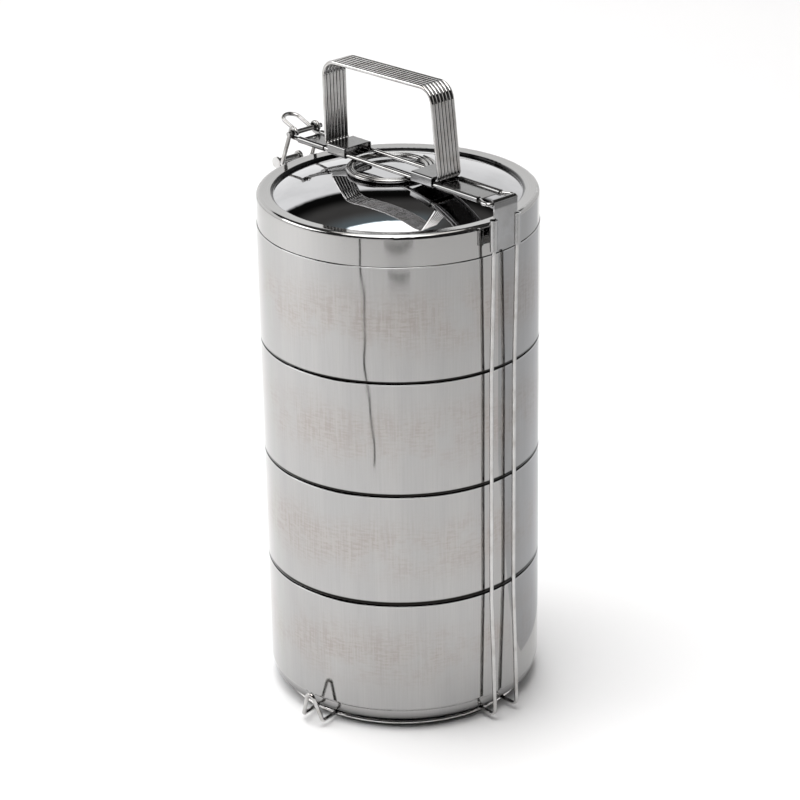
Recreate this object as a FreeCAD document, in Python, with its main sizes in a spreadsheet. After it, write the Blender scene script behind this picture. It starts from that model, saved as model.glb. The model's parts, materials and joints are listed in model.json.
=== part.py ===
"""Four-tier tiffin carrier: four nesting steel bowls and a lid, carried in a wire frame.

The frame is two long U wires that pass under the bowls and up both sides, welded to a base
ring.  A hinged bridge with a wire handle crosses over the lid, presses on it with a coil,
and ends in a latch bail.  +Z is up, z = 0 is the ground, the hinge is on the +X side and
the latch on the -X side.  Millimetres.
"""
import FreeCAD, Part
import math
import os
import re
import Sketcher
from FreeCAD import Placement, Rotation, Vector

SIZES = [
    ("stack_shift", 4.6, "stack axis from the middle of the footprint, towards the hinge"),
    ("tier_count", 4, "number of bowls"),
    ("bowl_radius", 70, "outer radius of the bowl wall"),
    ("tier_pitch", 60, "height of one tier"),
    ("bowl_sheet", 0.5, "thickness of the bowl and lid sheet"),
    ("bowl_floor", 5.2, "underside of the lowest bowl above the ground"),
    ("step_depth", 6.2, "height of the nesting step under each bowl"),
    ("step_radius", 68.4, "outer radius of the nesting step"),
    ("shoulder_bend", 1.5, "outer bend from the step out to the wall"),
    ("floor_bend", 3, "outer bend at the bowl's floor"),
    ("rim_round", 0.3, "rounding of a sheet rim"),
    ("lid_radius", 69.6, "outer radius of the lid skirt"),
    ("lid_height", 16, "lid rim above the top bowl's rim"),
    ("plug_radius", 69.1, "outer radius of the lid's plug inside the top bowl"),
    ("plug_depth", 5.5, "depth of the lid's plug in the top bowl"),
    ("plug_lift", 0.3, "lid seat above the top bowl's rim"),
    ("lid_bend", 2, "outer bend of the lid's crest"),
    ("lid_fall", 0.6, "fall of the lid's flat border from the crest to the groove"),
    ("groove_radius", 62, "radius of the lid's groove wall"),
    ("groove_bend", 0.7, "bends of the lid's groove"),
    ("groove_drop", 2.2, "groove floor below the lid's crest"),
    ("dome_rise", 7.8, "dome centre above the lid's crest"),
    ("dome_shoulder", 36, "radius where the dome's flank would meet the level of its centre"),
    ("wire_radius", 1.05, "radius of the frame, bridge and handle wires"),
    ("run_clearance", 0.08, "radial clearance of a wire in its bore"),
    ("ring_radius", 62.5, "centre-line radius of the base ring"),
    ("ring_wire", 1.5, "radius of the base ring's wire"),
    ("ring_flat", 0.2, "depth of the flat under the base ring"),
    ("frame_half", 7.7, "frame wires from the frame's middle plane"),
    ("wire_rest", 3.75, "centre of the wires that cross on top of the base ring"),
    ("wire_reach", 73.2, "frame wires from the stack axis at mid height"),
    ("wire_top", 74.75, "frame wires from the stack axis at the side plates"),
    ("wire_foot", 75.8, "frame wires from the stack axis at the ground"),
    ("foot_bend", 3, "bend of the frame wires at the ground"),
    ("bow_bend", 60, "slight bends along the frame wires"),
    ("bow_low", 70, "lower end of the wires' straight stretch beside the bowls"),
    ("bow_high", 190, "upper end of the wires' straight stretch beside the bowls"),
    ("guard_angle", -80.3, "direction of the first guard"),
    ("guard_half", 6.2, "half the width of a guard at its foot"),
    ("guard_inner", 63.2, "inner ends of a guard's feet from the stack axis"),
    ("guard_outer", 77, "lower corners of a guard from the stack axis"),
    ("guard_lean", 79.6, "tip of a guard from the stack axis"),
    ("guard_tip", 22.6, "height at which a guard's two sides would meet"),
    ("guard_bend", 2.2, "bend at a guard's tip"),
    ("plate_sheet", 0.8, "thickness of the two side plates"),
    ("hinge_x", 73.2, "hinge axis from the stack axis"),
    ("hinge_z", 278.4, "height of the hinge axis and of the bridge wires"),
    ("hinge_half", 7.6, "half the length of the hinge roll"),
    ("plate_step", 272, "height where the hinge plate narrows"),
    ("plate_foot", 255.5, "lower edge of the hinge plate"),
    ("gutter_top", 270.5, "upper ends of the hinge plate's gutters"),
    ("catch_x", 83, "catch pin from the stack axis"),
    ("catch_z", 261.8, "height of the catch pin"),
    ("catch_half", 6.4, "half the length of the catch roll"),
    ("catch_bend_z", 250.5, "height where the latch plate bends upright"),
    ("catch_foot", 236, "lower edge of the latch plate"),
    ("catch_wire_top", 249, "upper ends of the frame wires at the latch plate"),
    ("head_radius", 3, "radius of the catch pin's heads"),
    ("head_thick", 1.2, "thickness of the catch pin's heads"),
    ("bridge_half", 7.3, "bridge wires from the middle plane"),
    ("flare_half", 9.4, "bridge wires from the middle plane where they turn into the hinge"),
    ("flare_start", 65, "start of the flare from the stack axis"),
    ("flare_end", 69.2, "end of the flare from the stack axis"),
    ("flare_bend", 1.7, "bends at the flare and the hinge"),
    ("pivot_x", 69.2, "latch pivot from the stack axis"),
    ("eye_radius", 2.4, "centre-line radius of the eyes at the bridge wires' ends"),
    ("pin_radius", 1.27, "radius of the latch pivot pin"),
    ("pin_half", 11, "half the length of the latch pivot pin"),
    ("web_sheet", 0.5, "thickness of the arm plates and the handle sleeves"),
    ("web_right_in", 37, "inner end of the hinge-side arm plate"),
    ("web_right_out", 64.2, "outer end of the hinge-side arm plate"),
    ("web_left_in", 45.4, "inner end of the latch-side arm plate"),
    ("web_left_out", 64.6, "outer end of the latch-side arm plate"),
    ("hole_x", 62, "drain hole in the latch-side arm plate"),
    ("hole_radius", 1.1, "radius of the drain hole"),
    ("sleeve_half", 9, "half the width of a handle sleeve"),
    ("sleeve_low", 276.7, "underside of the handle sleeves"),
    ("sleeve_high", 282.2, "top of the handle sleeves"),
    ("sleeve_bend", 1.2, "outer bends of a handle sleeve"),
    ("sleeve_right_in", 19.1, "inner end of the hinge-side sleeve"),
    ("sleeve_right_out", 33.4, "outer end of the hinge-side sleeve"),
    ("sleeve_left_in", 29, "inner end of the latch-side sleeve"),
    ("sleeve_left_out", 41.4, "outer end of the latch-side sleeve"),
    ("coil_x", -5, "coil axis from the stack axis"),
    ("coil_radius", 17.5, "centre-line radius of the coil at its inner end"),
    ("coil_wire", 0.95, "radius of the coil's wire"),
    ("coil_growth", 2.2, "growth of the coil's radius in one turn"),
    ("coil_turns", 2.25, "number of turns of the coil"),
    ("coil_z", 276.3, "height of the flat coil's wire"),
    ("handle_count", 7, "number of wires side by side in the handle"),
    ("handle_pitch", 2.15, "spacing of the handle wires"),
    ("handle_tail_z", 280.5, "height of the handle wires' ends inside the sleeves"),
    ("handle_top_right", 325.1, "height of the handle's upper run at its hinge end"),
    ("handle_top_left", 323.8, "height of the handle's upper run at its latch end"),
    ("leg_right_low", 36.7, "hinge-side leg from the stack axis, at its lower bend"),
    ("leg_right_high", 31.3, "hinge-side leg from the stack axis, at its upper bend"),
    ("leg_left_low", 44.7, "latch-side leg from the stack axis, at its lower bend"),
    ("leg_left_high", 45.6, "latch-side leg from the stack axis, at its upper bend"),
    ("tail_right", 19.5, "inner ends of the handle wires on the hinge side"),
    ("tail_left", 29.5, "inner ends of the handle wires on the latch side"),
    ("handle_bend", 8, "upper bends of the handle wires"),
    ("tail_bend", 2.4, "lower bends of the handle wires"),
    ("bail_half_top", 9.7, "latch bail's legs from the middle plane at the pivot"),
    ("bail_half_low", 10.1, "latch bail's legs from the middle plane at the crossbar"),
    ("bail_reach", 19.3, "crossbar from the latch pivot"),
    ("bail_tilt", 20.6, "outward tilt of the bail's legs from hanging straight down"),
    ("bail_bend", 1.6, "bends at the crossbar"),
    ("loop_half", 4.9, "half the width of the finger loop"),
    ("loop_reach", 14.4, "tip of the finger loop from the latch pivot"),
    ("loop_tilt", -68.8, "outward tilt of the finger loop from upright"),
]
ALIASES = {alias for alias, value, note in SIZES}

doc = FreeCAD.newDocument("tiffin_carrier")
sheet = doc.addObject("Spreadsheet::Sheet", "Sizes")
for row, (alias, value, note) in enumerate(SIZES, 1):
    sheet.set(f"A{row}", note)
    sheet.set(f"B{row}", str(value))
    sheet.setAlias(f"B{row}", alias)
doc.recompute()

subparts = []


def expression(text):
    """Return a size formula with each alias looked up in the sheet."""
    def in_sheet(word):
        name = word.group()
        return f"Sizes.{name}" if name in ALIASES else name

    return re.sub(r"[a-z_]+", in_sheet, text)


def size(text):
    """Work out a size formula as a number."""
    return float(sheet.evalExpression(expression(text)))


def bind(target, name, text):
    """Bind a property to a size formula."""
    target.setExpression(name, expression(text))


def place(part, x="stack_shift", y="0", z="0"):
    """Put a sub-part at x, y, z, bound to the sheet."""
    for axis, text in zip("xyz", (x, y, z)):
        bind(part, f"Placement.Base.{axis}", text)


def new_body(label, **position):
    body = doc.addObject("PartDesign::Body", label)
    body.Label = label
    place(body, **position)
    subparts.append(body)
    return body


def tilt(body, text):
    """Turn a body about its Y axis, outwards for a positive angle."""
    body.Placement.Rotation = Rotation(Vector(0, 1, 0), size(text))
    bind(body, "Placement.Rotation.Angle", f"{text} * 1 deg")


def new_sketch(body, role, offset="0"):
    """Start a sketch on one of the body's own origin planes, offset along its normal."""
    sketch = body.newObject("Sketcher::SketchObject", f"{body.Name}_{role[:2]}_sketch")
    plane = next(item for item in body.Origin.OriginFeatures if item.Role == role)
    sketch.AttachmentSupport = [(plane, "")]
    sketch.MapMode = "FlatFace"
    bind(sketch, "AttachmentOffset.Base.z", offset)
    return sketch


def pin_point(sketch, geometry, vertex, x, y):
    """Dimension one vertex of a sketch from its origin."""
    for kind, text in (("DistanceX", x), ("DistanceY", y)):
        number = sketch.addConstraint(Sketcher.Constraint(kind, -1, 1, geometry, vertex, size(text)))
        bind(sketch, f"Constraints[{number}]", text)


def draw_circle(sketch, x, y, radius):
    circle = sketch.addGeometry(Part.Circle(Vector(size(x), size(y), 0), Vector(0, 0, 1), size(radius)))
    pin_point(sketch, circle, 3, x, y)
    number = sketch.addConstraint(Sketcher.Constraint("Radius", circle, size(radius)))
    bind(sketch, f"Constraints[{number}]", radius)


def trim_corner(before, corner, after, bend):
    """Return the tangent points and the middle of the arc that rounds a corner."""
    inward = (before - corner).normalize()
    outward = (after - corner).normalize()
    half = inward.getAngle(outward) / 2
    reach = bend / math.tan(half)
    bisector = (inward + outward).normalize()
    centre = corner + bisector * (bend / math.sin(half))
    return corner + inward * reach, centre - bisector * bend, corner + outward * reach, centre


def draw_outline(sketch, corners, closed=True):
    """Draw straight runs between corners (x, y, bend), each corner rounded by its bend."""
    points = [Vector(size(x), size(y), 0) for x, y, bend in corners]
    count = len(points)
    rounded = [bend != "0" for x, y, bend in corners]
    starts, ends, centres = list(points), list(points), {}
    for number in range(count):
        if rounded[number]:
            before, after = points[number - 1], points[(number + 1) % count]
            trimmed = trim_corner(before, points[number], after, size(corners[number][2]))
            ends[number], starts[number], centres[number] = trimmed[0], trimmed[2], trimmed[3]
    runs = range(count if closed else count - 1)
    lines = [
        sketch.addGeometry(Part.LineSegment(starts[run], ends[(run + 1) % count])) for run in runs
    ]
    if not closed:
        pin_point(sketch, lines[0], 1, *corners[0][:2])
        pin_point(sketch, lines[-1], 2, *corners[-1][:2])
    for number in range(count) if closed else range(1, count - 1):
        x, y, bend = corners[number]
        line_in, line_out = lines[number - 1], lines[number]
        if rounded[number]:
            radius = size(bend)
            first, last = ends[number] - centres[number], starts[number] - centres[number]
            turns_left = first.cross(last).z > 0
            angles = [math.atan2(arm.y, arm.x) for arm in (first, last)]
            if not turns_left:
                angles.reverse()
            circle = Part.Circle(centres[number], Vector(0, 0, 1), radius)
            arc = sketch.addGeometry(Part.ArcOfCircle(circle, *angles))
            near_end, far_end = (1, 2) if turns_left else (2, 1)
            mark = sketch.addGeometry(Part.Point(points[number]), True)
            sketch.addConstraint(Sketcher.Constraint("PointOnObject", mark, 1, line_in))
            sketch.addConstraint(Sketcher.Constraint("PointOnObject", mark, 1, line_out))
            sketch.addConstraint(Sketcher.Constraint("Tangent", line_in, 2, arc, near_end))
            sketch.addConstraint(Sketcher.Constraint("Tangent", arc, far_end, line_out, 1))
            constraint = sketch.addConstraint(Sketcher.Constraint("Radius", arc, radius))
            bind(sketch, f"Constraints[{constraint}]", bend)
            pin_point(sketch, mark, 1, x, y)
        else:
            sketch.addConstraint(Sketcher.Constraint("Coincident", line_in, 2, line_out, 1))
            pin_point(sketch, line_out, 1, x, y)


def spin(body, kind, corners):
    """Revolve an outline in the XZ plane about Z; kind is Revolution or Groove."""
    sketch = new_sketch(body, "XZ_Plane")
    draw_outline(sketch, corners)
    feature = body.newObject(f"PartDesign::{kind}", f"{body.Name}_{kind.lower()}")
    feature.Profile = sketch
    feature.ReferenceAxis = (sketch, ["V_Axis"])
    feature.Angle = 360


def extrude(body, kind, sketch, length):
    """Pad or pocket a sketch, half of the length to each side of it."""
    feature = body.newObject(f"PartDesign::{kind}", f"{body.Name}_{kind.lower()}")
    feature.Profile = sketch
    feature.SideType = "Symmetric"
    bind(feature, "Length", length)


def draw_pipe(body, path_role, path, end_role, end_offset, end_centre, radius="wire_radius"):
    """Sweep a round wire along a flat path; the end sketch lies across the path's start."""
    spine = new_sketch(body, path_role)
    draw_outline(spine, path, closed=False)
    section = new_sketch(body, end_role, end_offset)
    draw_circle(section, *end_centre, radius)
    pipe = body.newObject("PartDesign::AdditivePipe", f"{body.Name}_pipe")
    pipe.Profile = section
    pipe.Spine = spine


def bent_wire(label, corners, radius="wire_radius"):
    """Make a round wire along corners (x, y, z, bend) in space."""
    points = [Vector(*(size(text) for text in corner[:3])) for corner in corners]
    edges = []
    tail = points[0]
    for number in range(1, len(points) - 1):
        neighbours = points[number - 1], points[number], points[number + 1]
        start, middle, end, centre = trim_corner(*neighbours, size(corners[number][3]))
        if (start - tail).Length > 1e-6:
            edges.append(Part.LineSegment(tail, start).toShape())
        edges.append(Part.Arc(start, middle, end).toShape())
        tail = end
    edges.append(Part.LineSegment(tail, points[-1]).toShape())
    circle = Part.Circle(points[0], points[1] - points[0], size(radius)).toShape()
    solid = Part.Wire(edges).makePipeShell([Part.Wire(circle)], True, True)
    if solid.Volume < 0:
        solid.reverse()
    wire = doc.addObject("Part::Feature", label)
    wire.Label = label
    wire.Shape = solid
    subparts.append(wire)
    return wire


def make_bowl(tier):
    """A deep drawn bowl whose narrower foot nests in the rim below."""
    body = new_body(f"bowl_{tier}", z=f"bowl_floor + {tier - 1} * tier_pitch")
    rim = "tier_pitch + step_depth"
    spin(body, "Revolution", [
        ("0", "0", "0"),
        ("step_radius", "0", "floor_bend"),
        ("step_radius", "step_depth", "0"),
        ("bowl_radius", "step_depth", "shoulder_bend"),
        ("bowl_radius", rim, "rim_round"),
        ("0", rim, "0"),
    ])
    spin(body, "Groove", [
        ("0", "bowl_sheet", "0"),
        ("step_radius - bowl_sheet", "bowl_sheet", "floor_bend - bowl_sheet"),
        ("step_radius - bowl_sheet", "step_depth + bowl_sheet", "0"),
        ("bowl_radius - bowl_sheet", "step_depth + bowl_sheet", "shoulder_bend - bowl_sheet"),
        ("bowl_radius - bowl_sheet", f"{rim} + bowl_sheet", "0"),
        ("0", f"{rim} + bowl_sheet", "0"),
    ])


def make_lid():
    """A lid with a plug below, a rounded crest, a ring groove and a dome that is flat in the middle."""
    body = new_body("lid", z="bowl_floor + step_depth + tier_count * tier_pitch")
    apex = "lid_height + dome_rise"
    groove_floor = "lid_height - groove_drop"
    rise = "(dome_rise + groove_drop)"
    flank = "(groove_radius - dome_shoulder)"
    flank_length = f"sqrt({flank} ^ 2 + {rise} ^ 2)"
    dome_bend = f"0.96 * {flank_length} * ({flank_length} + {flank}) / {rise}"
    spin(body, "Revolution", [
        ("0", "-plug_depth", "0"),
        ("plug_radius", "-plug_depth", "rim_round"),
        ("plug_radius", "plug_lift", "0"),
        ("lid_radius", "plug_lift", "0"),
        ("lid_radius", "lid_height", "lid_bend"),
        ("groove_radius", "lid_height - lid_fall", "groove_bend"),
        ("groove_radius", groove_floor, "groove_bend"),
        ("dome_shoulder", apex, dome_bend),
        ("0", apex, "0"),
    ])
    spin(body, "Groove", [
        ("0", "-plug_depth - bowl_sheet", "0"),
        ("plug_radius - bowl_sheet", "-plug_depth - bowl_sheet", "0"),
        ("plug_radius - bowl_sheet", "plug_lift + bowl_sheet", "0"),
        ("lid_radius - bowl_sheet", "plug_lift + bowl_sheet", "0"),
        ("lid_radius - bowl_sheet", "lid_height - bowl_sheet", "lid_bend - bowl_sheet"),
        ("groove_radius + bowl_sheet", "lid_height - lid_fall - bowl_sheet", "groove_bend - bowl_sheet"),
        ("groove_radius + bowl_sheet", f"{groove_floor} - bowl_sheet", "groove_bend + bowl_sheet"),
        ("dome_shoulder", f"{apex} - bowl_sheet", f"{dome_bend} - bowl_sheet"),
        ("0", f"{apex} - bowl_sheet", "0"),
    ])


def make_base_ring():
    """The ring that the carrier stands on, with a narrow flat worn under it."""
    ring = doc.addObject("Part::Torus", "ring_wire")
    bind(ring, "Radius1", "ring_radius")
    bind(ring, "Radius2", "ring_wire")
    bind(ring, "Placement.Base.z", "ring_wire - ring_flat")
    ground = doc.addObject("Part::Box", "ground_block")
    for side in ("Length", "Width"):
        bind(ground, side, "2 * bowl_radius")
    bind(ground, "Height", "ring_wire")
    bind(ground, "Placement.Base.x", "-bowl_radius")
    bind(ground, "Placement.Base.y", "-bowl_radius")
    bind(ground, "Placement.Base.z", "-ring_wire")
    cut = doc.addObject("Part::Cut", "base_ring")
    cut.Label = "base_ring"
    cut.Base = ring
    cut.Tool = ground
    place(cut)
    subparts.append(cut)


def make_side_wire(label, side):
    """One long U wire: down from the hinge plate, under the bowls, up to the latch plate."""
    body = new_body(label, y=f"{side} * frame_half")
    draw_pipe(
        body,
        "XZ_Plane",
        [
            ("wire_top", "gutter_top", "0"),
            ("wire_top", "plate_foot - 2 * wire_radius", "bow_bend"),
            ("wire_reach", "bow_high", "bow_bend"),
            ("wire_reach", "bow_low", "bow_bend"),
            ("wire_foot", "wire_rest", "foot_bend"),
            ("-wire_foot", "wire_rest", "foot_bend"),
            ("-wire_reach", "bow_low", "bow_bend"),
            ("-wire_reach", "bow_high", "bow_bend"),
            ("-wire_top", "catch_foot - 2 * wire_radius", "bow_bend"),
            ("-wire_top", "catch_wire_top", "0"),
        ],
        "XY_Plane", "gutter_top", ("wire_top", "0"),
    )


def make_guard(label, half_turn):
    """A leaning wire ear that keeps the lowest bowl centred, with two feet on the ring."""
    wire = bent_wire(label, [
        ("guard_inner", "-guard_half", "wire_rest", "0"),
        ("guard_outer", "-guard_half", "wire_rest", "foot_bend / 2"),
        ("guard_lean", "0", "guard_tip", "guard_bend"),
        ("guard_outer", "guard_half", "wire_rest", "foot_bend / 2"),
        ("guard_inner", "guard_half", "wire_rest", "0"),
    ])
    turn = Rotation(Vector(0, 0, 1), size("guard_angle") + half_turn)
    wire.Placement = Placement(Vector(size("stack_shift"), 0, 0), turn)


def draw_roll(body, x, z, half):
    """Roll a plate's edge into a tube along Y, still filled."""
    sketch = new_sketch(body, "XZ_Plane")
    draw_circle(sketch, x, z, "wire_radius + run_clearance + plate_sheet")
    extrude(body, "Pad", sketch, f"2 * {half}")


def open_roll(body, x, z, half):
    """Open the bore of a rolled edge for the wire or pin in it."""
    sketch = new_sketch(body, "XZ_Plane")
    draw_circle(sketch, x, z, "wire_radius + run_clearance")
    extrude(body, "Pocket", sketch, f"2 * {half} + 2")


def draw_gutters(body, x, low, high):
    """Fold both edges of a side plate round the frame wires."""
    bore = "wire_radius + run_clearance"
    height = f"{high} - ({low})"
    for kind, radius, extra in (("Pad", f"{bore} + plate_sheet", "0"), ("Pocket", bore, "2")):
        for side in ("-1", "1"):
            sketch = new_sketch(body, "XY_Plane", f"({low} + {high}) / 2")
            draw_circle(sketch, x, f"{side} * frame_half", radius)
            extrude(body, kind, sketch, f"{height} + {extra}")


def make_hinge_plate():
    """The plate on the hinge side: gutters round the wires below, the hinge roll on top."""
    body = new_body("hinge_plate")
    draw_roll(body, "hinge_x", "hinge_z", "hinge_half")
    inner = "hinge_x + wire_radius + run_clearance"
    for half, low in (("hinge_half", "plate_step"), ("frame_half", "plate_foot")):
        sketch = new_sketch(body, "XZ_Plane")
        high = "hinge_z" if low == "plate_step" else "plate_step"
        draw_outline(sketch, [
            (inner, low, "0"),
            (f"{inner} + plate_sheet", low, "0"),
            (f"{inner} + plate_sheet", high, "0"),
            (inner, high, "0"),
        ])
        extrude(body, "Pad", sketch, f"2 * {half}")
    draw_gutters(body, "wire_top", "plate_foot", "plate_step - 1")
    open_roll(body, "hinge_x", "hinge_z", "hinge_half")


def make_latch_plate():
    """The plate on the latch side, leaning out to the roll that holds the catch pin."""
    body = new_body("latch_plate")
    draw_roll(body, "-catch_x", "catch_z", "catch_half")
    lean = "atan2(catch_z - catch_bend_z; catch_x - wire_top)"
    offset = "(wire_radius + run_clearance)"
    outer = f"{offset} + plate_sheet"
    sketch = new_sketch(body, "XZ_Plane")
    draw_outline(sketch, [
        ("-wire_top + plate_sheet / 2", "catch_foot", "0"),
        ("-wire_top + plate_sheet / 2", "catch_bend_z", "0"),
        (f"-catch_x - {offset} * sin({lean})", f"catch_z - {offset} * cos({lean})", "0"),
        (f"-catch_x - ({outer}) * sin({lean})", f"catch_z - ({outer}) * cos({lean})", "0"),
        ("-wire_top - plate_sheet / 2", "catch_bend_z - plate_sheet", "0"),
        ("-wire_top - plate_sheet / 2", "catch_foot", "0"),
    ])
    extrude(body, "Pad", sketch, "2 * catch_half")
    draw_gutters(body, "-wire_top", "catch_foot", "catch_wire_top - 1")
    open_roll(body, "-catch_x", "catch_z", "catch_half")


def make_catch_pin():
    """The pin in the latch plate's roll, upset into a round head at both ends."""
    body = new_body("catch_pin", x="stack_shift - catch_x", z="catch_z")
    shank = new_sketch(body, "XZ_Plane")
    draw_circle(shank, "0", "0", "wire_radius")
    extrude(body, "Pad", shank, "2 * catch_half + 2 * rim_round + head_thick")
    for side in ("-1", "1"):
        head = new_sketch(body, "XZ_Plane", f"{side} * (catch_half + rim_round + head_thick / 2)")
        draw_circle(head, "0", "0", "head_radius")
        extrude(body, "Pad", head, "head_thick")


def make_bridge_wire():
    """The long U wire of the bridge: its base is the hinge pin, its ends are the latch eyes."""
    half = {side: f"{side} * bridge_half" for side in (-1, 1)}
    eye_out = "-pivot_x - eye_radius"
    eye_in = "-pivot_x + eye_radius"
    eye_top = "hinge_z + 2 * eye_radius"

    def leg(side):
        """One leg from the closed end of its eye to the hinge."""
        return [
            (eye_in, half[side], "hinge_z + eye_radius - wire_radius / 2", "0"),
            (eye_in, half[side], eye_top, "eye_radius"),
            (eye_out, half[side], eye_top, "eye_radius"),
            (eye_out, half[side], "hinge_z", "eye_radius"),
            ("flare_start", half[side], "hinge_z", "flare_bend"),
            ("flare_end", f"{side} * flare_half", "hinge_z", "flare_bend"),
            ("hinge_x", f"{side} * flare_half", "hinge_z", "flare_bend"),
        ]

    wire = bent_wire("bridge_wire", leg(-1) + leg(1)[::-1])
    wire.Placement = Placement(Vector(size("stack_shift"), 0, 0), Rotation())


def make_arm_plate(label, inner, outer, hole=None):
    """A flat web between the bridge wires with both long edges rolled round them."""
    body = new_body(label)
    middle = f"({inner} + {outer}) / 2"
    length = f"abs({outer} - {inner})"
    bore = "wire_radius + run_clearance"
    web = new_sketch(body, "YZ_Plane", middle)
    draw_outline(web, [
        ("-bridge_half", "hinge_z - web_sheet / 2", "0"),
        ("bridge_half", "hinge_z - web_sheet / 2", "0"),
        ("bridge_half", "hinge_z + web_sheet / 2", "0"),
        ("-bridge_half", "hinge_z + web_sheet / 2", "0"),
    ])
    extrude(body, "Pad", web, length)
    for kind, radius, extra in (("Pad", f"{bore} + web_sheet", "0"), ("Pocket", bore, "2")):
        for side in ("-1", "1"):
            sketch = new_sketch(body, "YZ_Plane", middle)
            draw_circle(sketch, f"{side} * bridge_half", "hinge_z", radius)
            extrude(body, kind, sketch, f"{length} + {extra}")
    if hole:
        sketch = new_sketch(body, "XY_Plane", "hinge_z")
        draw_circle(sketch, hole, "0", "hole_radius")
        extrude(body, "Pocket", sketch, "2 * bridge_half")


def make_sleeve(label, inner, outer):
    """A flat tube of sheet that clamps the handle wires' ends over the bridge wires."""
    body = new_body(label)
    middle = f"({inner} + {outer}) / 2"
    length = f"abs({outer} - {inner})"
    for kind, inset, extra in (("Pad", "0", "0"), ("Pocket", "web_sheet", "2")):
        sketch = new_sketch(body, "YZ_Plane", middle)
        bend = f"sleeve_bend - {inset}"
        low, high, half = f"sleeve_low + {inset}", f"sleeve_high - {inset}", f"(sleeve_half - {inset})"
        draw_outline(sketch, [
            (f"-{half}", low, bend),
            (half, low, bend),
            (half, high, bend),
            (f"-{half}", high, bend),
        ])
        extrude(body, kind, sketch, f"{length} + {extra}")


def make_lid_coil():
    """The flat coil under the bridge that presses the lid down."""
    body = new_body("lid_coil", x="stack_shift + coil_x", z="coil_z")
    sketch = new_sketch(body, "XZ_Plane")
    draw_circle(sketch, "coil_radius", "0", "coil_wire")
    helix = body.newObject("PartDesign::AdditiveHelix", "lid_coil_helix")
    helix.Profile = sketch
    helix.ReferenceAxis = (sketch, ["V_Axis"])
    helix.Mode = "height-turns-growth"
    helix.Height = 0
    bind(helix, "Turns", "coil_turns")
    bind(helix, "Growth", "coil_growth")


def make_handle_wire(number):
    """One of the parallel wires of the grip, with both ends bent in under the sleeves."""
    body = new_body(f"handle_wire_{number}", y=f"({number} - (handle_count + 1) / 2) * handle_pitch")
    draw_pipe(
        body,
        "XZ_Plane",
        [
            ("tail_right", "handle_tail_z", "0"),
            ("leg_right_low", "handle_tail_z", "tail_bend"),
            ("leg_right_high", "handle_top_right", "handle_bend"),
            ("-leg_left_high", "handle_top_left", "handle_bend"),
            ("-leg_left_low", "handle_tail_z", "tail_bend"),
            ("-tail_left", "handle_tail_z", "0"),
        ],
        "YZ_Plane", "tail_right", ("0", "handle_tail_z"),
    )


def make_pivot_pin():
    """The pin that carries the latch in the eyes of the bridge wires."""
    body = new_body("latch_pivot_pin", x="stack_shift - pivot_x", z="hinge_z + eye_radius")
    sketch = new_sketch(body, "XZ_Plane")
    draw_circle(sketch, "0", "0", "pin_radius")
    extrude(body, "Pad", sketch, "2 * pin_half")


def make_latch_bail():
    """The latch's lower U wire: two legs welded to the pivot pin and a crossbar."""
    body = new_body("latch_bail", x="stack_shift - pivot_x", z="hinge_z + eye_radius")
    draw_pipe(
        body,
        "YZ_Plane",
        [
            ("-bail_half_top", "0", "0"),
            ("-bail_half_low", "-bail_reach", "bail_bend"),
            ("bail_half_low", "-bail_reach", "bail_bend"),
            ("bail_half_top", "0", "0"),
        ],
        "XY_Plane", "0", ("0", "-bail_half_top"),
    )
    tilt(body, "bail_tilt")


def make_finger_loop():
    """The latch's upper U wire, welded to the pivot pin, that a finger pulls."""
    body = new_body("finger_loop", x="stack_shift - pivot_x", z="hinge_z + eye_radius")
    draw_pipe(
        body,
        "YZ_Plane",
        [
            ("-loop_half", "0", "0"),
            ("-loop_half", "loop_reach", "0.98 * loop_half"),
            ("loop_half", "loop_reach", "0.98 * loop_half"),
            ("loop_half", "0", "0"),
        ],
        "XY_Plane", "0", ("0", "-loop_half"),
    )
    tilt(body, "loop_tilt")


def export():
    """Check every object and write each sub-part to its own STEP file."""
    doc.recompute()
    for item in doc.Objects:
        failed = {"Invalid", "Error"} & set(item.State)
        if failed:
            raise RuntimeError(f"{item.Name} is {failed}")
    os.makedirs("parts", exist_ok=True)
    for part in subparts:
        if part.Shape.isNull() or not part.Shape.isValid():
            raise RuntimeError(f"{part.Label} has no valid shape")
        part.Shape.exportStep(f"parts/{part.Label}.step")
        box = part.Shape.optimalBoundingBox()
        print(
            f"{part.Label}: {part.Shape.Volume:.1f} mm3, {len(part.Shape.Solids)} solid, "
            f"x {box.XMin:.2f}..{box.XMax:.2f}, y {box.YMin:.2f}..{box.YMax:.2f}, "
            f"z {box.ZMin:.2f}..{box.ZMax:.2f}"
        )


for tier in range(1, int(size("tier_count")) + 1):
    make_bowl(tier)
make_lid()
make_base_ring()
make_side_wire("side_wire_near", "-1")
make_side_wire("side_wire_far", "1")
make_guard("guard_near", 0)
make_guard("guard_far", 180)
make_hinge_plate()
make_latch_plate()
make_catch_pin()
make_bridge_wire()
make_arm_plate("arm_plate_hinge", "web_right_in", "web_right_out")
make_arm_plate("arm_plate_latch", "-web_left_in", "-web_left_out", hole="-hole_x")
make_sleeve("sleeve_hinge", "sleeve_right_in", "sleeve_right_out")
make_sleeve("sleeve_latch", "-sleeve_left_in", "-sleeve_left_out")
make_lid_coil()
for number in range(1, int(size("handle_count")) + 1):
    make_handle_wire(number)
make_pivot_pin()
make_latch_bail()
make_finger_loop()
export()
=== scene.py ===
"""Looks of a four-tier steel tiffin carrier: finishes with painted light and shade, studio and camera,
in metres.
"""
import json
import math

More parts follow.
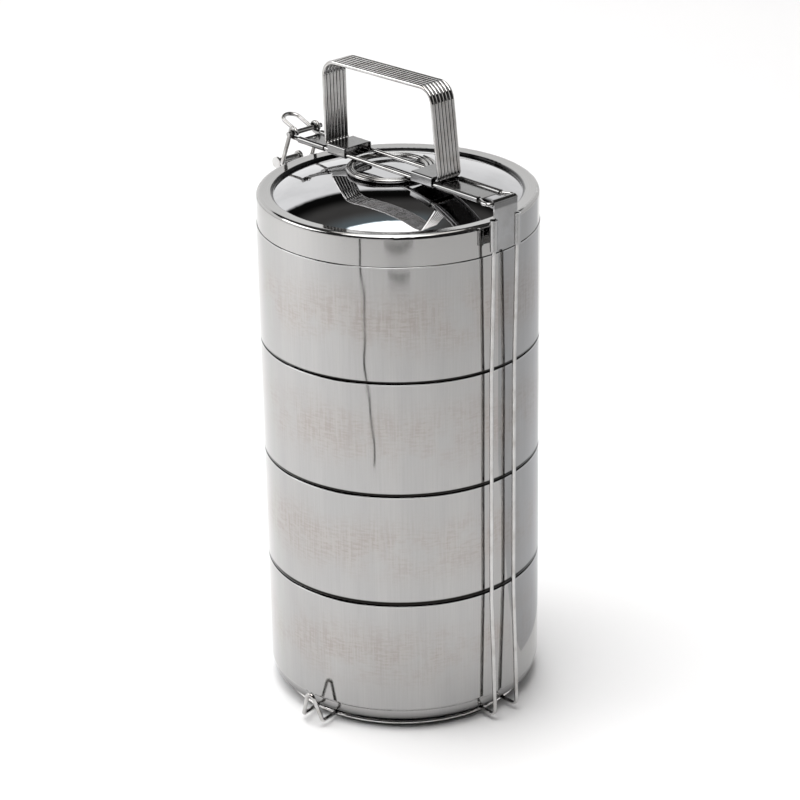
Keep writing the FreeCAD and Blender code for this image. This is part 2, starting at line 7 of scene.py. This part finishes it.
import bpy
from mathutils import Euler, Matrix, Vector


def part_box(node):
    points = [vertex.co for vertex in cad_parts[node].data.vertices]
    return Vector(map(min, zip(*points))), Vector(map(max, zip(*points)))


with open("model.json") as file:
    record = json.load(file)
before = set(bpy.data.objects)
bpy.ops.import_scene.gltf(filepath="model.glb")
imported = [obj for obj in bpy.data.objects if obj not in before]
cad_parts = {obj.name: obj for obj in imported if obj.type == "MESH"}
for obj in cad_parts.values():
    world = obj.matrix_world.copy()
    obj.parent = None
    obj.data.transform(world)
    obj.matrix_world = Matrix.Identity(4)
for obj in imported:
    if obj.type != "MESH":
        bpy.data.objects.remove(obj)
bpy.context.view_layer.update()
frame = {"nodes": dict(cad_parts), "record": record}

NODES = frame["nodes"]

LOWEST_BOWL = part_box("bowl_1")
AXIS = (LOWEST_BOWL[0] + LOWEST_BOWL[1]) / 2      # a point on the axis of the stack
SECOND_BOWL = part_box("bowl_2")
TIER_PITCH = SECOND_BOWL[0].z - LOWEST_BOWL[0].z
SEAM_SHARE = (LOWEST_BOWL[1].z - SECOND_BOWL[0].z) / TIER_PITCH    # how far up a tier its seam is
ARMS_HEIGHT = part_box("arm_plate_hinge")[0].z      # underside of the bridge's arm plates

# The lid's groove and the start of its satin border, by distance from the axis.
GROOVE_INSIDE = 0.0613
GROOVE_OUTSIDE = 0.0625
BORDER_START = 0.0618
BORDER_FULL = 0.0628

FLOOR_HALF_WIDTH = 4.0
CARD_HEIGHT = 0.001      # how far above the floor the cards lie


# The camera: where it stands round the stack's axis, how it is turned and its lens.
CAMERA_AZIMUTH = math.radians(47.5)
CAMERA_ELEVATION = math.radians(23.545)
CAMERA_DISTANCE = 1.3386
CAMERA_AIM_HEIGHT = 0.1595
CAMERA_TURN = Euler([math.radians(angle) for angle in (-0.256, 0.022, -0.8735)], "ZXY")
CAMERA_LENS = 118.78
CAMERA_SENSOR = 36.0


def away(distance, side=0.0, height=0.0):
    """A point measured from the stack's axis: away from the camera, to its right, and up."""
    back = Vector((-math.sin(CAMERA_AZIMUTH), math.cos(CAMERA_AZIMUTH), 0))
    right = Vector((math.cos(CAMERA_AZIMUTH), math.sin(CAMERA_AZIMUTH), 0))
    return Vector((AXIS.x, AXIS.y, 0)) + back * distance + right * side + Vector((0, 0, height))


# Node helpers

def add(tree, kind, inputs=None, **settings):
    """Add a node; an input is a value or another node's socket."""
    made = tree.nodes.new(kind)
    for name, value in settings.items():
        setattr(made, name, value)
    for name, value in (inputs or {}).items():
        if isinstance(value, bpy.types.NodeSocket):
            tree.links.new(value, made.inputs[name])
        else:
            made.inputs[name].default_value = value
    return made


def calculate(tree, operation, *values):
    """Combine values or sockets with a maths operation."""
    made = tree.nodes.new("ShaderNodeMath")
    made.operation = operation
    for number, value in enumerate(values):
        if isinstance(value, bpy.types.NodeSocket):
            tree.links.new(value, made.inputs[number])
        else:
            made.inputs[number].default_value = value
    return made.outputs[0]


def ramp(tree, value, start, end, low=0.0, high=1.0):
    """Go smoothly from low to high as value goes from start to end."""
    made = add(tree, "ShaderNodeMapRange", {
        "Value": value, "From Min": start, "From Max": end, "To Min": low, "To Max": high,
    }, interpolation_type="SMOOTHSTEP")
    return made.outputs["Result"]


def between(tree, value, low, high, soft):
    """A mask that is 1 from low to high, with soft edges."""
    rise = ramp(tree, value, low - soft, low + soft)
    fall = ramp(tree, value, high - soft, high + soft, 1.0, 0.0)
    return calculate(tree, "MULTIPLY", rise, fall)


def noise(tree, vector, scale, detail=3.0, roughness=0.55):
    """Noise of about scale cells a metre along each axis."""
    made = add(tree, "ShaderNodeTexNoise", {
        "Vector": vector, "Scale": scale, "Detail": detail, "Roughness": roughness,
    })
    return made.outputs["Fac"]


def stretched(tree, vector, x, y, z):
    """Coordinates scaled by axis; a small share draws a pattern out along that axis."""
    made = add(tree, "ShaderNodeMapping", {"Vector": vector, "Scale": (x, y, z)})
    return made.outputs["Vector"]


def mix_colours(tree, factor, first, second):
    """The first colour where factor is 0, the second where it is 1."""
    made = tree.nodes.new("ShaderNodeMix")
    made.data_type = "RGBA"
    for number, value in ((0, factor), (6, first), (7, second)):
        if isinstance(value, bpy.types.NodeSocket):
            tree.links.new(value, made.inputs[number])
        else:
            made.inputs[number].default_value = value if number == 0 else (*value, 1.0)
    return made.outputs[2]


def bumped(tree, height, strength, distance, normal=None):
    """A normal bent by a height pattern, on top of another normal if one is given."""
    inputs = {"Height": height, "Strength": strength, "Distance": distance}
    if normal is not None:
        inputs["Normal"] = normal
    return add(tree, "ShaderNodeBump", inputs).outputs["Normal"]


def from_axis(tree, position):
    """Distance of the shaded point from the stack's axis."""
    axis = (AXIS.x, AXIS.y, 0)
    shifted = add(tree, "ShaderNodeVectorMath", {0: position, 1: axis}, operation="SUBTRACT")
    flat = stretched(tree, shifted.outputs["Vector"], 1, 1, 0)
    return add(tree, "ShaderNodeVectorMath", {0: flat}, operation="LENGTH").outputs["Value"]


def height_of(tree, position):
    """Height of the shaded point above the floor."""
    return add(tree, "ShaderNodeSeparateXYZ", {0: position}).outputs["Z"]


def new_steel(name, anisotropic=0.0):
    """A metal material; returns it, its tree, its shader and the object's own coordinates."""
    material = bpy.data.materials.new(name)
    material.use_nodes = True
    tree = material.node_tree
    shader = tree.nodes["Principled BSDF"]
    shader.inputs["Metallic"].default_value = 1.0
    shader.inputs["Anisotropic"].default_value = anisotropic
    position = tree.nodes.new("ShaderNodeTexCoord").outputs["Object"]
    return material, tree, shader, position


# Finishes, with painted light and shade

def crevice_shade(tree, reach, dark, clear=0.75):
    """Painted shade where surfaces nearly meet: dark in the gap, 1 out in the open."""
    hidden = tree.nodes.new("ShaderNodeAmbientOcclusion")
    hidden.samples = 8
    hidden.inputs["Distance"].default_value = reach
    return ramp(tree, hidden.outputs["AO"], 0.25, clear, dark, 1.0)


def shaded(tree, colour, shade):
    """A colour times a shade."""
    made = add(tree, "ShaderNodeVectorMath", {0: colour}, operation="SCALE")
    tree.links.new(shade, made.inputs["Scale"])
    return made.outputs["Vector"]


def bowl_tone(tree, position, grain, smudge, share):
    """Colour of a bowl's wall: plain bands, warm handling marks half way up, fine grain."""
    bands = noise(tree, stretched(tree, position, 1, 1, 0.12), 90, 3)
    upright = noise(tree, stretched(tree, position, 1, 1, 0.06), 1000, 3)
    round_about = noise(tree, stretched(tree, position, 0.2, 0.2, 1), 1000, 3)
    hatch = ramp(tree, calculate(tree, "ADD", upright, round_about), 0.85, 1.2)
    middle = between(tree, share, 0.42, 0.86, 0.2)
    warm = calculate(tree, "MULTIPLY", middle, ramp(tree, smudge, 0.34, 0.6))
    marked = calculate(tree, "MULTIPLY", warm, hatch)
    banding = ramp(tree, bands, 0.3, 0.7)
    plain = mix_colours(tree, banding, (0.362, 0.36, 0.357), (0.39, 0.385, 0.38))
    tint = calculate(tree, "MULTIPLY", warm, 0.7)
    tinted = mix_colours(tree, tint, plain, (0.385, 0.362, 0.345))
    soil = calculate(tree, "MULTIPLY", marked, 0.5)
    soiled = mix_colours(tree, soil, tinted, (0.27, 0.235, 0.215))
    speckle = ramp(tree, grain, 0.3, 0.8, 0.0, 0.3)
    return mix_colours(tree, speckle, soiled, (0.31, 0.305, 0.30))


def seam_shade_and_rim_highlight(tree, tier, share, tone):
    """A painted shade line where a bowl stands in the one below, with a painted highlight on the rim
    under it.
    """
    nested = ramp(tree, tier, 0.7, 0.8)      # the lowest bowl's foot stands in no rim
    # painted highlight on the top of the lower bowl's rim
    rim = between(tree, share, SEAM_SHARE - 0.010, SEAM_SHARE + 0.001, 0.003)
    rim_highlighted = mix_colours(tree, calculate(tree, "MULTIPLY", nested, rim), tone, (0.46, 0.46, 0.46))
    # painted shade on the upper bowl's foot, just above the seam
    line_width = ramp(tree, tier, 0.5, 3.5, 0.045, 0.026)
    above_seam = calculate(tree, "SUBTRACT", share, SEAM_SHARE + 0.002)
    line = between(tree, calculate(tree, "DIVIDE", above_seam, line_width), 0.0, 1.0, 0.12)
    line = calculate(tree, "MULTIPLY", nested, line)
    return mix_colours(tree, line, rim_highlighted, (0.012, 0.011, 0.01))


def bowl_steel():
    """Spun bowls: a soft mirror with an upright grain, warm handling marks, painted shade at the
    seams, on the lowest bowl's foot and in the gaps, a painted rim highlight, and waves.
    """
    material, tree, shader, position = new_steel("bowl_steel_finish_and_painted_shade", anisotropic=0.25)
    grain = noise(tree, stretched(tree, position, 1, 1, 0.02), 1600, 2)
    smudge = noise(tree, position, 38, 5, 0.6)
    above_foot = calculate(tree, "SUBTRACT", height_of(tree, position), LOWEST_BOWL[0].z)
    tier = calculate(tree, "DIVIDE", above_foot, TIER_PITCH)
    share = calculate(tree, "FRACT", tier)
    tone = bowl_tone(tree, position, grain, smudge, share)
    steel = seam_shade_and_rim_highlight(tree, tier, share, tone)
    # painted shade: the lowest bowl's foot darker towards the bottom, and darker where parts nearly
    # meet
    foot_shade = ramp(tree, tier, 0.0, SEAM_SHARE + 0.01, 0.35, 1.0)
    shade = calculate(tree, "MULTIPLY", foot_shade, crevice_shade(tree, 0.0022, 0.03))
    tree.links.new(shaded(tree, steel, shade), shader.inputs["Base Color"])
    tree.links.new(ramp(tree, smudge, 0.3, 0.8, 0.05, 0.12), shader.inputs["Roughness"])
    waves = noise(tree, stretched(tree, position, 1, 1, 0.5), 28, 1)
    rolling = bumped(tree, waves, 0.5, 0.0006)
    tree.links.new(bumped(tree, grain, 0.05, 0.00005, rolling), shader.inputs["Normal"])
    return material


def lid_steel():
    """The lid: a mirror dome, painted shade in the groove round it and where parts nearly meet, and a
    satin border with turning marks.
    """
    material, tree, shader, position = new_steel("lid_steel_finish_and_painted_shade")
    radius = from_axis(tree, position)
    border = ramp(tree, radius, BORDER_START, BORDER_FULL)
    ring_line = add(tree, "ShaderNodeCombineXYZ", {"X": radius})
    turning = noise(tree, ring_line.outputs[0], 2600, 3)
    smudge = noise(tree, position, 60, 4)
    smears = ramp(tree, smudge, 0.35, 0.75)
    dome = mix_colours(tree, smears, (0.53, 0.53, 0.54), (0.46, 0.46, 0.47))
    rings = ramp(tree, turning, 0.35, 0.65)
    rim = mix_colours(tree, rings, (0.37, 0.366, 0.36), (0.42, 0.416, 0.41))
    steel = mix_colours(tree, border, dome, rim)
    # painted shade in the groove round the dome
    groove_shade = between(tree, radius, GROOVE_INSIDE, GROOVE_OUTSIDE, 0.0003)
    steel = mix_colours(tree, groove_shade, steel, (0.015, 0.015, 0.015))
    # painted shade where parts nearly meet
    tree.links.new(shaded(tree, steel, crevice_shade(tree, 0.0016, 0.05)), shader.inputs["Base Color"])
    polish = ramp(tree, smudge, 0.4, 0.8, 0.02, 0.05)
    satin = ramp(tree, turning, 0.3, 0.7, 0.04, 0.1)
    blend = add(tree, "ShaderNodeMix", {"Factor": border, "A": polish, "B": satin})
    tree.links.new(blend.outputs[0], shader.inputs["Roughness"])
    strength = calculate(tree, "MULTIPLY", border, 0.12)
    marks = bumped(tree, turning, strength, 0.00005)
    waves = noise(tree, position, 22, 1)
    tree.links.new(bumped(tree, waves, 0.3, 0.0003, marks), shader.inputs["Normal"])
    return material


def wire_steel():
    """Drawn wire: bright, with painted shade on the bridge and the coil and between the wires, and
    painted light brightening the ring where it stands.
    """
    material, tree, shader, position = new_steel("wire_steel_finish_and_painted_light")
    fine = noise(tree, position, 900, 3)
    soil = noise(tree, position, 130, 3)
    stain = ramp(tree, soil, 0.35, 0.75)
    steel = mix_colours(tree, stain, (0.55, 0.545, 0.54), (0.42, 0.405, 0.39))
    height = height_of(tree, position)
    # painted shade: a darker band at the bridge's height, on the bridge and the coil
    bridge = between(tree, height, ARMS_HEIGHT - 0.006, ARMS_HEIGHT + 0.007, 0.003)
    darker_by_height = ramp(tree, bridge, 0.0, 1.0, 0.95, 0.66)
    # painted light: brighter near the floor, on the ring and the wires' lowest parts
    painted_light_near_floor = ramp(tree, height, 0.001, 0.006, 1.7, 1.0)
    shade = calculate(tree, "MULTIPLY", darker_by_height, painted_light_near_floor)
    # painted shade where wires nearly meet
    shade = calculate(tree, "MULTIPLY", shade, crevice_shade(tree, 0.0016, 0.04, 0.95))
    tree.links.new(shaded(tree, steel, shade), shader.inputs["Base Color"])
    tree.links.new(ramp(tree, fine, 0.3, 0.7, 0.06, 0.14), shader.inputs["Roughness"])
    tree.links.new(bumped(tree, fine, 0.08, 0.00004), shader.inputs["Normal"])
    return material


def plate_steel():
    """Cold-rolled sheet: satin, with faint rolling lines, and painted shade darkening the arms and
    sleeves up top and the gaps between parts.
    """
    material, tree, shader, position = new_steel("plate_steel_finish_and_painted_shade")
    lines = noise(tree, stretched(tree, position, 0.08, 1, 1), 1500, 3)
    soil = noise(tree, position, 110, 3)
    stain = ramp(tree, soil, 0.3, 0.75)
    steel = mix_colours(tree, stain, (0.42, 0.42, 0.42), (0.36, 0.355, 0.35))
    # painted shade: darker above the arms' underside, on the arms and sleeves
    darker_by_height = ramp(tree, height_of(tree, position), ARMS_HEIGHT - 0.001, ARMS_HEIGHT, 1.0, 0.52)
    # painted shade where parts nearly meet
    shade = calculate(tree, "MULTIPLY", darker_by_height, crevice_shade(tree, 0.0015, 0.1))
    tree.links.new(shaded(tree, steel, shade), shader.inputs["Base Color"])
    tree.links.new(ramp(tree, lines, 0.3, 0.7, 0.10, 0.2), shader.inputs["Roughness"])
    tree.links.new(bumped(tree, lines, 0.08, 0.00004), shader.inputs["Normal"])
    return material


def finish_nodes():
    """Give every CAD node its finish, with its painted light and shade, by the record's slots."""
    # each finish holds painted light and shade as well as the steel's own colour
    finishes = {
        "bowl_steel": bowl_steel(),
        "lid_steel": lid_steel(),
        "wire_steel": wire_steel(),
        "plate_steel": plate_steel(),
    }
    for entry in frame["record"]["subparts"]:
        node = NODES[entry["node"]]
        node.data.materials.clear()
        node.data.materials.append(finishes[entry["material_slot"]])


# Studio

def matt_material(name, scale, detail, first, second, roughness):
    """A matt material in two tones of noise; returns it and its shader."""
    material = bpy.data.materials.new(name)
    material.use_nodes = True
    tree = material.node_tree
    shader = tree.nodes["Principled BSDF"]
    position = tree.nodes.new("ShaderNodeTexCoord").outputs["Object"]
    tones = mix_colours(tree, noise(tree, position, scale, detail), first, second)
    tree.links.new(tones, shader.inputs["Base Color"])
    shader.inputs["Roughness"].default_value = roughness
    return material, shader


def make_stage(name, corners, faces, material):
    """A flat piece of the set, which isn't part of the object."""
    mesh = bpy.data.meshes.new(name)
    mesh.from_pydata(corners, [], faces)
    mesh.materials.append(material)
    piece = bpy.data.objects.new(name, mesh)
    bpy.context.scene.collection.objects.link(piece)
    return piece


def make_floor():
    """A wide pale floor."""
    half = FLOOR_HALF_WIDTH
    corners = [(-half, -half, 0), (half, -half, 0), (half, half, 0), (-half, half, 0)]
    paper, shader = matt_material("floor_paper", 6, 2, (0.86, 0.86, 0.87), (0.88, 0.88, 0.88), 0.7)
    shader.inputs["Specular IOR Level"].default_value = 0.2
    make_stage("floor", corners, [(0, 1, 2, 3)], paper)


def world_angles(tree):
    """Elevation and azimuth of a direction in degrees, and its x and y, turned to the camera."""
    direction = tree.nodes.new("ShaderNodeTexCoord").outputs["Generated"]
    turned = add(tree, "ShaderNodeVectorRotate", {
        "Vector": direction, "Angle": -CAMERA_AZIMUTH,
    }, rotation_type="Z_AXIS")
    parts = add(tree, "ShaderNodeSeparateXYZ", {0: turned.outputs[0]}).outputs
    to_degrees = 180 / math.pi
    rise = calculate(tree, "ARCSINE", parts["Z"])
    bearing = calculate(tree, "ARCTAN2", parts["X"], parts["Y"])
    elevation = calculate(tree, "MULTIPLY", rise, to_degrees)
    azimuth = calculate(tree, "MULTIPLY", bearing, to_degrees)
    return elevation, azimuth, parts["X"], parts["Y"]


def world_patch(tree, elevation, azimuth, rows, columns, row_soft, column_soft):
    """A patch of the world between two elevations and two azimuths, in degrees."""
    high = between(tree, elevation, *rows, row_soft)
    wide = between(tree, azimuth, *columns, column_soft)
    return calculate(tree, "MULTIPLY", high, wide)


def make_world():
    """A pale sweep low down, a dark room above it, a window-like lamp and a glowing ceiling."""
    world = bpy.data.worlds.new("studio")
    bpy.context.scene.world = world
    world.use_nodes = True
    tree = world.node_tree
    background = tree.nodes["Background"]
    elevation, azimuth, across, depth = world_angles(tree)
    side = ramp(tree, across, -1, 1, 1.3, 0.85)
    behind = ramp(tree, depth, -0.45, 0.05, 0.03, 1.0)
    sweep = calculate(tree, "MULTIPLY", ramp(tree, elevation, 30, 32.5, 1.0, 0.0), side)
    sweep = calculate(tree, "MULTIPLY", sweep, behind)
    wall = ramp(tree, elevation, 36, 43, 0.005, 0.075)
    ceiling = ramp(tree, elevation, 62, 64, 0.0, 1.6)
    glow = world_patch(tree, elevation, azimuth, (50, 80), (-26, 14), 4, 8)
    lamp = world_patch(tree, elevation, azimuth, (55, 80), (-20, 11), 0.8, 1)
    light = calculate(tree, "ADD", calculate(tree, "ADD", sweep, wall), ceiling)
    light = calculate(tree, "ADD", light, calculate(tree, "MULTIPLY", glow, 0.13))
    light = calculate(tree, "ADD", light, calculate(tree, "MULTIPLY", lamp, 3.5))
    tree.links.new(light, background.inputs["Strength"])
    tint = mix_colours(tree, glow, (1.0, 0.97, 0.94), (0.75, 0.92, 1.0))
    tinted = mix_colours(tree, ramp(tree, elevation, 33, 37), (1.0, 1.0, 1.0), tint)
    tree.links.new(mix_colours(tree, lamp, tinted, (1.0, 1.0, 1.0)), background.inputs["Color"])


def make_softbox(name, place, aim, size, power, mirrored=True):
    """A square lamp that the camera doesn't see; the steel mirrors it only if mirrored."""
    lamp = bpy.data.lights.new(name, "AREA")
    lamp.size = size
    lamp.energy = power
    holder = bpy.data.objects.new(name, lamp)
    bpy.context.scene.collection.objects.link(holder)
    holder.location = place
    holder.rotation_mode = "QUATERNION"
    holder.rotation_quaternion = (aim - place).to_track_quat("-Z", "Y")
    holder.visible_camera = False
    holder.visible_glossy = mirrored


def make_lights():
    """A wide lamp overhead, two low ones for the floor left and in front, one for the back."""
    make_softbox("softbox_top", away(0.1, -0.5, 2.2), away(0, -0.1, 0), 1.7, 24, mirrored=False)
    make_softbox("softbox_left", away(0.0, -0.85, 0.7), away(0, -0.8, 0), 0.6, 4.6)
    make_softbox("softbox_front", away(-0.24, -0.05, 0.62), away(-0.24, -0.05, 0), 0.35, 1.3)
    make_softbox("softbox_back", away(1.7, -0.1, 1.7), away(1.3, -0.1, 0), 1.6, 10, mirrored=False)


def on_floor(reach, angle):
    """A card's corner: its distance from the axis, and its angle round from the camera's side."""
    return away(-reach * math.cos(angle), reach * math.sin(angle), CARD_HEIGHT)


def make_flag(name, pairs, dark=(0.02, 0.02, 0.02), light=(0.06, 0.058, 0.055)):
    """A card on the floor that only the steel sees; its pairs of points are its two edges."""
    corners = [corner for pair in pairs for corner in pair]
    faces = [(2 * i, 2 * i + 2, 2 * i + 3, 2 * i + 1) for i in range(len(pairs) - 1)]
    felt, _ = matt_material(f"{name}_card", 9, 3, dark, light, 1.0)
    card = make_stage(name, corners, faces, felt)
    card.visible_camera = False
    card.visible_diffuse = False
    card.visible_shadow = False


def make_front_flag():
    """The dark end of the set in front: an arc that tapers towards its ends."""
    near = 0.82
    steps = 24
    arc = []
    for step in range(steps + 1):
        angle = math.radians(-50 + step * 100 / steps)
        far = 0.821 + 0.12 * math.cos(1.79 * angle)
        arc.append([on_floor(near, angle), on_floor(far, angle)])
    make_flag("flag_front", arc)


def make_side_shadow_card():
    """A grey card on the right, a painted shadow on the floor that only the steel mirrors, which
    darkens that side of the bowls.
    """
    near = 0.1
    far = 0.95
    steps = 12
    side = []
    for step in range(steps + 1):
        angle = math.radians(82 + step * 70 / steps)
        side.append([on_floor(near, angle), on_floor(far, angle)])
    make_flag("flag_side_shadow", side, (0.58, 0.59, 0.61), (0.64, 0.65, 0.67))


def make_cable_flag():
    """A thin wavy strip in front, mirrored in the bowls like a lamp's cable."""
    half_turn = 0.012
    steps = 40
    cable = []
    for step in range(steps + 1):
        reach = 0.38 + step * 0.011
        drift = 8 * (1 - step / steps) ** 2 - 29
        wave = 1.3 * math.sin(step / 3.1) + 0.6 * math.sin(step / 1.3)
        angle = math.radians(drift + wave)
        cable.append([on_floor(reach, angle - half_turn), on_floor(reach, angle + half_turn)])
    make_flag("flag_cable", cable)


def make_lens_flag(name, reach, half_depth, half_width):
    """A small lens-shaped card in front, longer across than it is deep."""
    steps = 8
    lens = []
    for step in range(-steps, steps + 1):
        share = step / steps
        half = half_depth * math.sqrt(1 - share * share) + 0.0005
        lens.append([away(-reach - side * half, half_width * share, CARD_HEIGHT) for side in (-1, 1)])
    make_flag(name, lens)


def make_flags():
    """What the steel mirrors from the floor."""
    make_front_flag()
    make_side_shadow_card()
    make_cable_flag()
    make_lens_flag("flag_near", 0.704, 0.008, 0.11)
    make_lens_flag("flag_far", 0.766, 0.009, 0.16)


def make_camera():
    """The camera at the photograph's viewing angle."""
    data = bpy.data.cameras.new("camera")
    data.lens = CAMERA_LENS
    data.sensor_width = CAMERA_SENSOR
    data.clip_start = 0.05
    data.clip_end = 50
    camera = bpy.data.objects.new("camera", data)
    bpy.context.scene.collection.objects.link(camera)
    level = math.cos(CAMERA_ELEVATION)
    back = Vector((
        math.sin(CAMERA_AZIMUTH) * level, -math.cos(CAMERA_AZIMUTH) * level, math.sin(CAMERA_ELEVATION)
    ))
    camera.location = away(0, 0, CAMERA_AIM_HEIGHT) + back * CAMERA_DISTANCE
    camera.rotation_mode = "QUATERNION"
    camera.rotation_quaternion = (-back).to_track_quat("-Z", "Y") @ CAMERA_TURN.to_quaternion()
    bpy.context.scene.camera = camera


bpy.context.scene.view_settings.view_transform = "Standard"
make_camera()
make_world()
make_floor()
make_lights()
make_flags()
finish_nodes()
